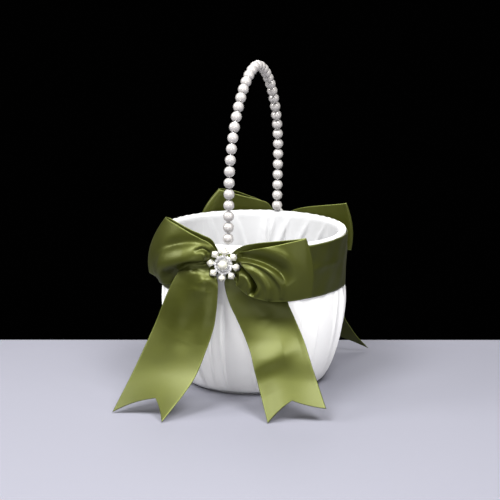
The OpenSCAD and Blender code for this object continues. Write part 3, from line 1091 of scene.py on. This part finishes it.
# the lining's darker white is painted shade
finish_piece(lining, shaded_lining_satin, "lining_white", "basket", "lining")
print("lining faces:", len(lining.data.polygons))

# %% [markdown]
# ## The floor
#
# Inside lies a thin round pad under satin. It is a crowned disc: a sphere pressed flat, with the cloth
# pulled to its edge in small puckers.

# %% Floor pad
PUCKERS = 24
PUCKER_DEPTH = 0.12
PAD_CROWN = 1.15
pad_low, pad_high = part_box("floor_pad")
deselect()
bpy.ops.mesh.primitive_uv_sphere_add(segments=96, ring_count=32, radius=1)
pad = named("floor_cushion")
ball = np.array([v.co[:] for v in pad.data.vertices])
spread = np.hypot(ball[:, 0], ball[:, 1])
turn = np.arctan2(ball[:, 1], ball[:, 0])
waves = np.cos(turn * PUCKERS + 1.5 * np.sin(turn * 3))
pucker = 1 + PUCKER_DEPTH * waves * np.clip(spread - 0.6, 0, 1)
thick = (pad_high.z - pad_low.z) / 2
crown = np.sign(ball[:, 2]) * np.clip(1 - spread**6, 0, 1) ** 0.5 * pucker
pad_mid = (pad_high.z + pad_low.z) / 2
pad_points = np.stack(
    [ball[:, 0] * pad_high.x, ball[:, 1] * pad_high.x, pad_mid + thick * PAD_CROWN * crown], axis=1
)
pad.data.vertices.foreach_set("co", pad_points.ravel())
shade_smooth(pad)
# the pad wears the lining's satin, with the same painted shade
finish_piece(pad, shaded_lining_satin, "lining_white", "basket", "floor_pad")
print(f"floor pad: {2 * pad_high.x:.4f} m across")

# %% [markdown]
# ## The ribbon round the rim
#
# The ribbon lies flat against the wall with its upper edge level with the rim, in two halves that meet
# under the bows. Towards each bow it is gathered, so both edges run in to the knot and long tension
# creases follow them.

# %% Rim ribbon
BAND_MIDDLE = (band_low.z + band_high.z) / 2
BAND_HALF = (band_high.z - band_low.z) / 2
BAND_LENGTH = 0.22
BAND_GRID = (200, 26)
BAND_PROUD = 0.001
BAND_START = 0.006  # a half starts this far from the middle of a knot
GATHER_TO = 0.03
GATHERED = 0.3  # the share of its height that is left at the knot
RIPPLE = 0.0006


def place_band(side):
    def place(angle_share, v):
        """angle_share runs from the front knot (0) to the back knot (1); v from 0 to 1 upwards."""
        start = BAND_START / rim_r
        angle = -math.pi / 2 + start + (math.pi - 2 * start) * angle_share
        reach = rim_r * (math.pi / 2 - np.abs(angle)) / GATHER_TO
        open_out = np.clip(reach, 0, 1)
        open_out = open_out * open_out * (3 - 2 * open_out)
        half = BAND_HALF * (GATHERED + (1 - GATHERED) * open_out)
        middle = KNOT_HEIGHT * MM + (BAND_MIDDLE - KNOT_HEIGHT * MM) * open_out
        z = middle + half * (2 * v - 1)
        radius = np.interp(z, cover_z, cover_r) + BAND_PROUD
        pleats = RIPPLE * (1 + np.cos(2 * math.pi * KNOT_PLEATS * v)) * np.exp(-reach * 1.2)
        slack = 0.0003 * np.sin(angle * 9 + 6 * v + side) + 0.0002 * np.sin(angle * 23 - 9 * v)
        creases = RIPPLE * np.exp(-(((v - 0.5 - 0.3 * (angle_share - 0.2)) / 0.06) ** 2))
        creases = creases * np.exp(-(((angle_share - 0.3) / 0.22) ** 2))
        radius = radius + pleats + slack + creases
        return np.stack([side * radius * np.cos(angle), radius * np.sin(angle), z], axis=1)

    return place


def band_piece(name, node, side):
    piece, flat = flat_grid(name, *BAND_GRID)
    placed = place_band(side)(flat[:, 0] + 0.5, flat[:, 1] + 0.5)
    piece.data.vertices.foreach_set("co", placed.ravel())
    scale_uv(piece, BAND_LENGTH, RIBBON)
    finish_sheet(piece, COVER_THICK)
    finish_piece(piece, ribbon_satin, "ribbon_green", "basket", node)
    print(name, "faces:", len(piece.data.polygons))
    return piece


band_piece("rim_ribbon_right", "ribbon_band_right", 1)
band_piece("rim_ribbon_left", "ribbon_band_left", -1)

# %% [markdown]
# ## Pearls
#
# Imitation pearls are glass or plastic balls in a nacre lacquer: almost white, slightly warm, with a
# sharp small highlight under a clear coat and a soft glow beneath. *Nacre* is a shared group that
# shifts the colour a little from place to place and gives the lacquer its faint orange-peel.

# %% Shared group: nacre
COLOUR = "NodeSocketColor"
PEEL_SCALE = 9  # the orange-peel is this many times finer than the colour's patches

nacre, an, al, a_in, a_out = new_group(
    "nacre",
    [("Vector", VECTOR, None), ("Warm", COLOUR, (0.9, 0.86, 0.78, 1)),
     ("Cool", COLOUR, (0.8, 0.8, 0.82, 1)), ("Scale", FLOAT, 90.0)],
    [("Color", COLOUR), ("Height", FLOAT)],
)
swirl = an.new("ShaderNodeTexNoise")
swirl.inputs["Detail"].default_value = 2
al.new(a_in.outputs["Vector"], swirl.inputs["Vector"])
al.new(a_in.outputs["Scale"], swirl.inputs["Scale"])
tint = an.new("ShaderNodeMix")
tint.data_type = "RGBA"
al.new(swirl.outputs["Fac"], tint.inputs["Factor"])
al.new(a_in.outputs["Cool"], tint.inputs[6])
al.new(a_in.outputs["Warm"], tint.inputs[7])
al.new(tint.outputs[2], a_out.inputs["Color"])
peel = an.new("ShaderNodeTexNoise")
al.new(a_in.outputs["Vector"], peel.inputs["Vector"])
al.new(math_node(an, al, "MULTIPLY", a_in.outputs["Scale"], PEEL_SCALE), peel.inputs["Scale"])
al.new(peel.outputs["Fac"], a_out.inputs["Height"])


# %% Pearl finishes
def pearl_material(name, warm, cool):
    """Nacre under a hard clear coat, in a warm and a cool tone."""
    material = bpy.data.materials.new(name)
    material.use_nodes = True
    tree = material.node_tree
    shader = shader_of(material)
    where = tree.nodes.new("ShaderNodeTexCoord")
    skin = add_group(material, nacre, Warm=(*warm, 1), Cool=(*cool, 1))
    tree.links.new(where.outputs["Object"], skin.inputs["Vector"])
    tree.links.new(skin.outputs["Color"], shader.inputs["Base Color"])
    bump = tree.nodes.new("ShaderNodeBump")
    bump.inputs["Strength"].default_value = 0.05
    bump.inputs["Distance"].default_value = 0.0001
    tree.links.new(skin.outputs["Height"], bump.inputs["Height"])
    tree.links.new(bump.outputs[0], shader.inputs["Normal"])
    shader.inputs["Roughness"].default_value = 0.3
    shader.inputs["Coat Weight"].default_value = 1.0
    shader.inputs["Coat Roughness"].default_value = 0.14
    shader.inputs["Metallic"].default_value = 0.22
    return material


pearl_white = pearl_material("pearl_lacquer", (0.43, 0.405, 0.385), (0.36, 0.345, 0.335))
pearl_cream = pearl_material("cream_lacquer", (0.56, 0.54, 0.45), (0.5, 0.49, 0.42))
print("pearl finishes:", pearl_white.name, pearl_cream.name)

# %% [markdown]
# ## The strand of pearls
#
# We ask the model where its beads are: its strand is a set of loose shells, and each one's middle is a
# bead's middle. One bead is made by spinning half its outline, with the hole through it, and is then
# copied to every place, turned so that its hole follows the wire.


# %% Where the beads are
def merged_copy(node):
    """A bmesh of a CAD node with its loose triangles merged."""
    mesh = bmesh.new()
    mesh.from_mesh(nodes[node].data)
    bmesh.ops.remove_doubles(mesh, verts=mesh.verts, dist=SAME_PLACE)
    return mesh


def shell_boxes(node):
    """Middle and size of each loose shell of a node."""
    mesh = merged_copy(node)
    left = set(mesh.verts)
    shells = []
    while left:
        stack = [left.pop()]
        shell = []
        while stack:
            vertex = stack.pop()
            shell.append(vertex.co.copy())
            for edge in vertex.link_edges:
                other = edge.other_vert(vertex)
                if other in left:
                    left.remove(other)
                    stack.append(other)
        low = Vector([min(c[i] for c in shell) for i in range(3)])
        high = Vector([max(c[i] for c in shell) for i in range(3)])
        shells.append(((low + high) / 2, high - low))
    mesh.free()
    return shells


beads = shell_boxes("handle_pearls")
bead_r = max(size.x for _, size in beads) / 2


ARCH_MIDDLE = 0.04  # the height above the rim about which the arch turns


def along_strand(middle):
    """Sorts beads along the arch, from the front root over the top to the back root."""
    return math.atan2(middle.y, middle.z - rim_z - ARCH_MIDDLE)


bead_places = sorted((middle for middle, _ in beads), key=along_strand)
print("beads:", len(bead_places), f"bead radius {bead_r:.4f}")

# %% Spinning, copying and joining
UP = Vector((0, 0, 1))


def spun(name, outline_points, steps):
    """A round piece spun from an outline of (radius, height) points about Z."""
    deselect()
    bpy.ops.mesh.primitive_plane_add(size=1)
    piece = named(name)
    mesh = bmesh.new()
    row = [mesh.verts.new((r, 0, z)) for r, z in outline_points]
    for a, b in zip(row, row[1:]):
        mesh.edges.new((a, b))
    mesh.to_mesh(piece.data)
    mesh.free()

    def spin_round():
        bpy.ops.mesh.spin(steps=steps, angle=2 * math.pi, center=(0, 0, 0), axis=(0, 0, 1))
        bpy.ops.mesh.select_all(action="SELECT")

    return in_edit_mode(piece, spin_round, merge_doubles, face_outwards)


def own_copy(master, name, matrix):
    """A copy of a piece with its own mesh, which the matrix moves."""
    copy = master.copy()
    copy.data = master.data.copy()
    copy.name = copy.data.name = name
    bpy.context.collection.objects.link(copy)
    copy.data.transform(matrix)
    return copy


def placed_copy(master, name, middle, way=UP, roll=0.0):
    """A copy at its place, rolled about its own +Z, which is then turned to way."""
    turned = way.to_track_quat("Z", "Y").to_matrix().to_4x4() @ Matrix.Rotation(roll, 4, UP)
    turned.translation = middle
    return own_copy(master, name, turned)


def join_all(pieces, name):
    deselect()
    for piece in pieces:
        piece.select_set(True)
    bpy.context.view_layer.objects.active = pieces[0]
    bpy.ops.object.join()
    return named(name)


def remove(piece):
    deselect()
    piece.select_set(True)
    bpy.ops.object.delete()


# %% Handle pearls
BEAD_STEPS = 10
BEAD_SIDES = 28
BEAD_HOLE = 0.0009
BEAD_SIZE = 0.995  # a hair smaller than the model's, so that neighbours don't touch
BEAD_ROLL = 1.3


def bead_outline(radius, hole):
    """Half a bead's outline, from the hole's lower end round the ball and back down the hole."""
    start = math.asin(hole / radius)
    points = [(hole, -radius * 0.6)]
    for i in range(2 * BEAD_STEPS + 1):
        a = start + (math.pi - 2 * start) * i / (2 * BEAD_STEPS)
        points.append((radius * math.sin(a), -radius * math.cos(a)))
    points.append((hole, radius * 0.6))
    points.append(points[0])
    return points


bead = spun("bead", bead_outline(bead_r * BEAD_SIZE, BEAD_HOLE), BEAD_SIDES)
shade_smooth(bead)
strand = []
for i, middle in enumerate(bead_places):
    before = bead_places[max(0, i - 1)]
    after = bead_places[min(len(bead_places) - 1, i + 1)]
    strand.append(placed_copy(bead, f"bead_{i:02d}", middle, after - before, i * BEAD_ROLL))
remove(bead)
pearls = join_all(strand, "pearl_strand")
finish_piece(pearls, pearl_white, "pearl_white", "handle", "handle_pearls")
print("strand faces:", len(pearls.data.polygons))

# %% [markdown]
# ## Metal
#
# The wire and the brooches' settings are bright white metal, with a soft mottle where lacquer and
# fingers have dulled it. The cut stones have foil behind them, so they mirror the light as metal does,
# and the same function makes them, half metallic and much smoother.


# %% Metal finishes
def metal(name, bright, dull, low, high, metallic=1.0):
    """A bright finish with dulled patches, whose roughness runs from low to high."""
    material = bpy.data.materials.new(name)
    material.use_nodes = True
    tree = material.node_tree
    shader = shader_of(material)
    where = tree.nodes.new("ShaderNodeTexCoord")
    patches = add_group(material, mottle, Scale=700, Contrast=2.0)
    tree.links.new(where.outputs["Object"], patches.inputs["Vector"])
    colour = mix_colours(tree, patches.outputs["Mask"], dull, bright)
    tree.links.new(colour, shader.inputs["Base Color"])
    rough = tree.nodes.new("ShaderNodeMapRange")
    rough.inputs["To Min"].default_value = low
    rough.inputs["To Max"].default_value = high
    tree.links.new(patches.outputs["Mask"], rough.inputs["Value"])
    tree.links.new(rough.outputs[0], shader.inputs["Roughness"])
    shader.inputs["Metallic"].default_value = metallic
    return material


setting_metal = metal("bright_setting", (0.88, 0.87, 0.85), (0.6, 0.6, 0.6), 0.3, 0.46)
wire_metal = metal("bright_wire", (0.7, 0.7, 0.72), (0.45, 0.45, 0.48), 0.2, 0.4)
stone_glass = metal("foiled_glass", (0.97, 0.96, 0.95), (0.6, 0.6, 0.6), 0.08, 0.24, 0.55)


def repaint(node, material):
    nodes[node].data.materials.clear()
    nodes[node].data.materials.append(material)


for node in ("handle_wire", "handle_anchor_front", "handle_anchor_back"):
    repaint(node, wire_metal)
    print(node, "is now", wire_metal.name)

# %% [markdown]
# ## The brooch
#
# The brooch is a star of eight arms with a claw-set pearl at the end of each. In the middle sits a large
# pearl in a collar of pegs, with sixteen small cut stones round it: one on each arm and one in each gap.
# The outer pearls aren't round: each is pressed into a soft diamond with a corner along its arm. The
# brooch is made flat, with its face towards +Z, and then copied to the front and to the back. The metal,
# pearls and stones are separate pieces, as their finishes differ.

# %% Sizes of the brooch
ARMS = 8
ARM_REACH = 0.0098
ARM_ROOT = 0.003
ARM_THICK = 0.0005
PETAL_R = 0.0028
CENTRE_R = 0.0035
PLATE = 0.0009  # the height that stones and pearls stand on
SEAT = 0.0001
PLATE_OUTLINE = [(0, 0), (0.0066, 0), (0.0069, 0.0003), (0.0066, 0.0006), (0, 0.0007)]
CLAWS = 4
CLAW_THICK = 0.00045
PEGS = 16
PEG_RING = 0.0041
PEG_THICK = 0.00035


def on_ring(index, count, distance, height, turn=0.0):
    a = turn + 2 * math.pi * index / count
    return Vector((distance * math.cos(a), distance * math.sin(a), height))


# %% Rods, stones, cups and set pearls
def bar(name, start, end, radius):
    """A round rod between two points, with rounded edges."""
    deselect()
    way = end - start
    bpy.ops.mesh.primitive_cylinder_add(vertices=10, radius=radius, depth=way.length)
    piece = named(name)
    piece.data.transform(way.to_track_quat("Z", "Y").to_matrix().to_4x4())
    piece.data.transform(Matrix.Translation((start + end) / 2))
    edge = piece.modifiers.new("edge", "BEVEL")
    edge.width = radius * 0.45
    edge.segments = 2
    return apply_modifiers(piece)


def stone(name, radius):
    """A cut stone: a table, a crown of eight facets and a short base."""
    outline_points = [(0, 0), (0.75, 0), (1, 0.5), (0.55, 1.05), (0, 1.05)]
    return spun(name, [(radius * r, radius * z) for r, z in outline_points], 8)


def cup(name, radius):
    """A shallow cup that a pearl sits in."""
    outline_points = [(0, 0), (0.72, 0), (0.98, 0.42), (0.9, 0.45), (0.66, 0.16), (0, 0.12)]
    return spun(name, [(radius * r, radius * z) for r, z in outline_points], 20)


SET_STEPS = 14
SET_ANGLE = math.radians(125)  # how far a set pearl's ball reaches down from its top


def half_drilled(name, radius):
    """A pearl set in a cup: round above, flat below."""
    points = [(0, -radius * 0.55)]
    for i in range(SET_STEPS + 1):
        a = SET_ANGLE * (1 - i / SET_STEPS)
        points.append((radius * math.sin(a), radius * math.cos(a)))
    points[-1] = (0, radius)
    return spun(name, points, BEAD_SIDES)


# %% The metal
def brooch_metal():
    parts = [spun("plate", PLATE_OUTLINE, 40)]
    petal_cup = cup("petal_cup", PETAL_R * 0.92)
    centre_cup = cup("centre_cup", CENTRE_R)
    parts.append(placed_copy(centre_cup, "centre_cup_1", Vector((0, 0, PLATE * 0.6))))
    for i in range(ARMS):
        at = on_ring(i, ARMS, ARM_REACH, 0.0003)
        parts.append(placed_copy(petal_cup, f"cup_{i}", at))
        inner = on_ring(i, ARMS, ARM_ROOT, ARM_THICK)
        outer = on_ring(i, ARMS, ARM_REACH - 0.001, ARM_THICK)
        parts.append(bar(f"arm_{i}", inner, outer, ARM_THICK))
        for k in range(CLAWS):
            a = 2 * math.pi * i / ARMS + 2 * math.pi * k / CLAWS
            corner = Vector((math.cos(a), math.sin(a), 0)) * PETAL_R
            foot = at + corner * 0.98 + UP * 0.0002
            tip = at + corner * 0.84 + UP * 0.0026
            parts.append(bar(f"claw_{i}_{k}", foot, tip, CLAW_THICK))
    for i in range(PEGS):
        taller = 1 if i % 2 else 1 + math.pi / PEGS
        foot = on_ring(i, PEGS, PEG_RING, PLATE + 0.0009)
        parts.append(bar(f"collar_{i}", foot, foot + UP * 0.0011 * taller, PEG_THICK))
    remove(petal_cup)
    remove(centre_cup)
    return join_all(parts, "brooch_metal")


# %% The stones and the pearls
SMALL_STONE, LARGE_STONE = 0.0013, 0.0015
GAP_RING, ARM_RING = 0.0061, 0.0066
CUSHION = 1.3  # 2 is a circle and 1 a diamond


def brooch_stones():
    parts = []
    small = stone("small_stone", SMALL_STONE)
    large = stone("large_stone", LARGE_STONE)
    for i in range(ARMS):
        arm = on_ring(i, ARMS, ARM_RING, PLATE)
        parts.append(placed_copy(large, f"arm_stone_{i}", arm, roll=i * 0.4))
        between = on_ring(i, ARMS, GAP_RING, PLATE, math.pi / ARMS)
        parts.append(placed_copy(small, f"gap_stone_{i}", between, roll=i * 0.7))
    remove(small)
    remove(large)
    return join_all(parts, "brooch_stones")


def brooch_pearls():
    parts = []
    petal = half_drilled("petal", PETAL_R)
    for vertex in petal.data.vertices:
        x, y, z = vertex.co
        far = math.hypot(x, y)
        if far > 0:
            cushion = far / (abs(x) ** CUSHION + abs(y) ** CUSHION) ** (1 / CUSHION)
            vertex.co = (x * cushion, y * cushion, z * 0.85)
    for i in range(ARMS):
        at = on_ring(i, ARMS, ARM_REACH, PLATE + SEAT + PETAL_R * 0.45)
        parts.append(placed_copy(petal, f"petal_{i}", at, roll=2 * math.pi * i / ARMS))
    remove(petal)
    return join_all(parts, "brooch_petals")


# %% Both brooches in their places
BROOCH_SWING = math.radians(-6)  # a pinned brooch never sits quite straight


def to_brooch_place(master, name, turned):
    """Copies a flat brooch part to its place: +Z turns to face out, with the brooch's own swing."""
    low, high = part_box("back_brooch_setting" if turned else "front_brooch_setting")
    middle = (low + high) / 2
    middle.y = low.y if turned else high.y
    facing = Vector((0, 1 if turned else -1, 0))
    right = Vector((-1 if turned else 1, 0, 0))
    x_axis = right * math.cos(BROOCH_SWING) + UP * math.sin(BROOCH_SWING)
    y_axis = UP * math.cos(BROOCH_SWING) - right * math.sin(BROOCH_SWING)
    matrix = Matrix.Identity(4)
    for row in range(3):
        matrix[row][0] = x_axis[row]
        matrix[row][1] = y_axis[row]
        matrix[row][2] = facing[row]
        matrix[row][3] = middle[row]
    return own_copy(master, name, matrix)


metal_master = brooch_metal()
stone_master = brooch_stones()
petal_master = brooch_pearls()
centre_master = half_drilled("centre", CENTRE_R)
centre_master.data.transform(Matrix.Translation((0, 0, PLATE + SEAT + CENTRE_R * 0.6)))
for master in (petal_master, centre_master):
    shade_smooth(master)
activate(metal_master)
bpy.ops.object.shade_smooth_by_angle(angle=math.radians(40))
# a part's name, its master, its finish, the record's slot, and the node that it stands for
BROOCH_PARTS = (
    ("metal", metal_master, setting_metal, "setting_metal", "setting"),
    ("stones", stone_master, stone_glass, "crystal", "crystals"),
    ("petals", petal_master, pearl_cream, "pearl_cream", "petal_pearls"),
    ("centre", centre_master, pearl_cream, "pearl_cream", "centre_pearl"),
)
for side, turned in (("front", False), ("back", True)):
    for part, master, finish, slot, node in BROOCH_PARTS:
        piece = to_brooch_place(master, f"{side}_brooch_{part}", turned)
        finish_piece(piece, finish, slot, "basket", f"{side}_brooch_{node}")
        print(piece.name, "faces:", len(piece.data.polygons))
for _, master, *_ in BROOCH_PARTS:
    remove(master)

# %% [markdown]
# ## Core and base
#
# The stiff core is hidden between cover and lining, and the base board shows only from below. Both keep
# the engineering model's shape and get a fibrous card finish.


# %% Card finish
def card(name, light, dark):
    """Fibrous card, matt and slightly uneven."""
    material = bpy.data.materials.new(name)
    material.use_nodes = True
    tree = material.node_tree
    shader = shader_of(material)
    where = tree.nodes.new("ShaderNodeTexCoord")
    fibres = add_group(material, mottle, Scale=220, Contrast=1.6)
    tree.links.new(where.outputs["Object"], fibres.inputs["Vector"])
    colour = mix_colours(tree, fibres.outputs["Mask"], dark, light)
    tree.links.new(colour, shader.inputs["Base Color"])
    bump = tree.nodes.new("ShaderNodeBump")
    bump.inputs["Strength"].default_value = 0.3
    bump.inputs["Distance"].default_value = 0.0002
    tree.links.new(fibres.outputs["Mask"], bump.inputs["Height"])
    tree.links.new(bump.outputs[0], shader.inputs["Normal"])
    shader.inputs["Roughness"].default_value = 0.85
    return material


repaint("core_shell", card("grey_card", (0.62, 0.58, 0.5), (0.5, 0.46, 0.4)))
repaint("base_board", card("covered_board", (0.86, 0.86, 0.86), (0.76, 0.76, 0.78)))
print("card finishes on:", "core_shell", "base_board")
